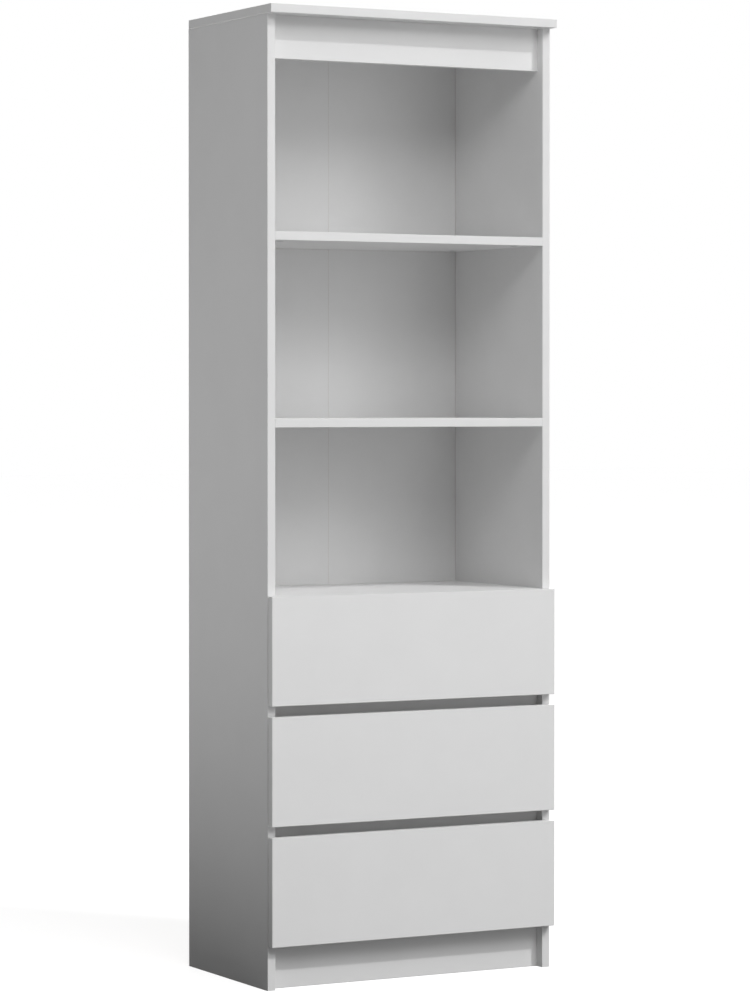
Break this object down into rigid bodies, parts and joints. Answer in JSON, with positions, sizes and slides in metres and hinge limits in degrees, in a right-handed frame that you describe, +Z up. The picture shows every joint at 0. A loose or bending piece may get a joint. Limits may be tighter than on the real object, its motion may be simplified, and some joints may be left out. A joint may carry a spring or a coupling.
{
  "type": "bookcase with bottom drawers",
  "caption": "Tall narrow white bookcase: open compartments with fixed shelves above full-width drawers on roller runners, with recessed plinth, rails and finger gaps.",
  "frame": {"origin": "on the floor, under the middle of the bookcase's box", "axes": "+Z up; +Y towards the back panel, so drawers open along -Y; +X to the right as seen from the front"},
  "size_m": [0.606, 0.3588, 1.8],
  "materials": {
    "white_board": "white melamine on particle board, matt satin with crisp edge banding",
    "white_hardboard": "white lacquered hardboard, matt",
    "zinc_steel": "bright zinc plated",
    "white_steel": "white powder coated sheet, satin",
    "nylon": "natural nylon, satin",
    "white_plastic": "white extruded plastic, matt",
    "soft_plastic": "soft translucent plastic, matt",
    "beech": "plain beech with pressed flutes"
  },
  "bodies": {
    "carcass": {"left_side_panel": "white_board", "right_side_panel": "white_board", "top_panel": "white_board", "top_front_rail": "white_board", "top_rear_rail": "white_board", "upper_shelf": "white_board", "middle_shelf": "white_board", "drawer_bay_shelf": "white_board", "bottom_panel": "white_board", "plinth_board": "white_board", "middle_cross_rail": "white_board", "lower_cross_rail": "white_board", "back_panel_left": "white_hardboard", "back_panel_right": "white_hardboard", "back_joint_tape": "white_plastic", "back_nails": "zinc_steel", "carcass_cam_locks": "zinc_steel", "carcass_cam_bolts": "zinc_steel", "carcass_screws": "zinc_steel", "wall_brackets": "zinc_steel", "carcass_dowels": "beech", "drawer_bumpers": "soft_plastic", "left_cabinet_runners": "white_steel", "right_cabinet_runners": "white_steel"},
    "lower_drawer": {"lower_drawer_front": "white_board", "lower_drawer_left_side": "white_board", "lower_drawer_right_side": "white_board", "lower_drawer_back": "white_board", "lower_drawer_bottom": "white_hardboard", "lower_drawer_left_runner": "white_steel", "lower_drawer_right_runner": "white_steel", "lower_drawer_cam_locks": "zinc_steel", "lower_drawer_cam_bolts": "zinc_steel", "lower_drawer_screws": "zinc_steel"},
    "lower_cabinet_roller_pair": {"lower_cabinet_rollers": "nylon"},
    "lower_drawer_roller_pair": {"lower_drawer_rollers": "nylon"},
    "middle_drawer": {"middle_drawer_front": "white_board", "middle_drawer_left_side": "white_board", "middle_drawer_right_side": "white_board", "middle_drawer_back": "white_board", "middle_drawer_bottom": "white_hardboard", "middle_drawer_left_runner": "white_steel", "middle_drawer_right_runner": "white_steel", "middle_drawer_cam_locks": "zinc_steel", "middle_drawer_cam_bolts": "zinc_steel", "middle_drawer_screws": "zinc_steel"},
    "middle_cabinet_roller_pair": {"middle_cabinet_rollers": "nylon"},
    "middle_drawer_roller_pair": {"middle_drawer_rollers": "nylon"},
    "upper_drawer": {"upper_drawer_front": "white_board", "upper_drawer_left_side": "white_board", "upper_drawer_right_side": "white_board", "upper_drawer_back": "white_board", "upper_drawer_bottom": "white_hardboard", "upper_drawer_left_runner": "white_steel", "upper_drawer_right_runner": "white_steel", "upper_drawer_cam_locks": "zinc_steel", "upper_drawer_cam_bolts": "zinc_steel", "upper_drawer_screws": "zinc_steel"},
    "upper_cabinet_roller_pair": {"upper_cabinet_rollers": "nylon"},
    "upper_drawer_roller_pair": {"upper_drawer_rollers": "nylon"}
  },
  "joints": [
    {"name": "lower_drawer_slide", "type": "slide", "parent": "carcass", "child": "lower_drawer", "axis": [0, -1, 0], "range_m": [0, 0.24]},
    {"name": "lower_cabinet_rollers_turn", "type": "hinge", "parent": "carcass", "child": "lower_cabinet_roller_pair", "pos_m": [0, -0.1364, 0.1163], "axis": [1, 0, 0], "range_deg": [0, 1420]},
    {"name": "lower_drawer_rollers_turn", "type": "hinge", "parent": "lower_drawer", "child": "lower_drawer_roller_pair", "pos_m": [0, 0.1236, 0.116], "axis": [1, 0, 0], "range_deg": [0, 1420]},
    {"name": "middle_drawer_slide", "type": "slide", "parent": "carcass", "child": "middle_drawer", "axis": [0, -1, 0], "range_m": [0, 0.24]},
    {"name": "middle_cabinet_rollers_turn", "type": "hinge", "parent": "carcass", "child": "middle_cabinet_roller_pair", "pos_m": [0, -0.1364, 0.3363], "axis": [1, 0, 0], "range_deg": [0, 1420]},
    {"name": "middle_drawer_rollers_turn", "type": "hinge", "parent": "middle_drawer", "child": "middle_drawer_roller_pair", "pos_m": [0, 0.1236, 0.336], "axis": [1, 0, 0], "range_deg": [0, 1420]},
    {"name": "upper_drawer_slide", "type": "slide", "parent": "carcass", "child": "upper_drawer", "axis": [0, -1, 0], "range_m": [0, 0.24]},
    {"name": "upper_cabinet_rollers_turn", "type": "hinge", "parent": "carcass", "child": "upper_cabinet_roller_pair", "pos_m": [0, -0.1364, 0.5563], "axis": [1, 0, 0], "range_deg": [0, 1420]},
    {"name": "upper_drawer_rollers_turn", "type": "hinge", "parent": "upper_drawer", "child": "upper_drawer_roller_pair", "pos_m": [0, 0.1236, 0.556], "axis": [1, 0, 0], "range_deg": [0, 1420]}
  ],
  "couplings": [
    {"joint": "lower_cabinet_rollers_turn", "follows": "lower_drawer_slide", "rad_per_m": 103.09},
    {"joint": "lower_drawer_rollers_turn", "follows": "lower_drawer_slide", "rad_per_m": 103.09},
    {"joint": "middle_cabinet_rollers_turn", "follows": "middle_drawer_slide", "rad_per_m": 103.09},
    {"joint": "middle_drawer_rollers_turn", "follows": "middle_drawer_slide", "rad_per_m": 103.09},
    {"joint": "upper_cabinet_rollers_turn", "follows": "upper_drawer_slide", "rad_per_m": 103.09},
    {"joint": "upper_drawer_rollers_turn", "follows": "upper_drawer_slide", "rad_per_m": 103.09}
  ]
}
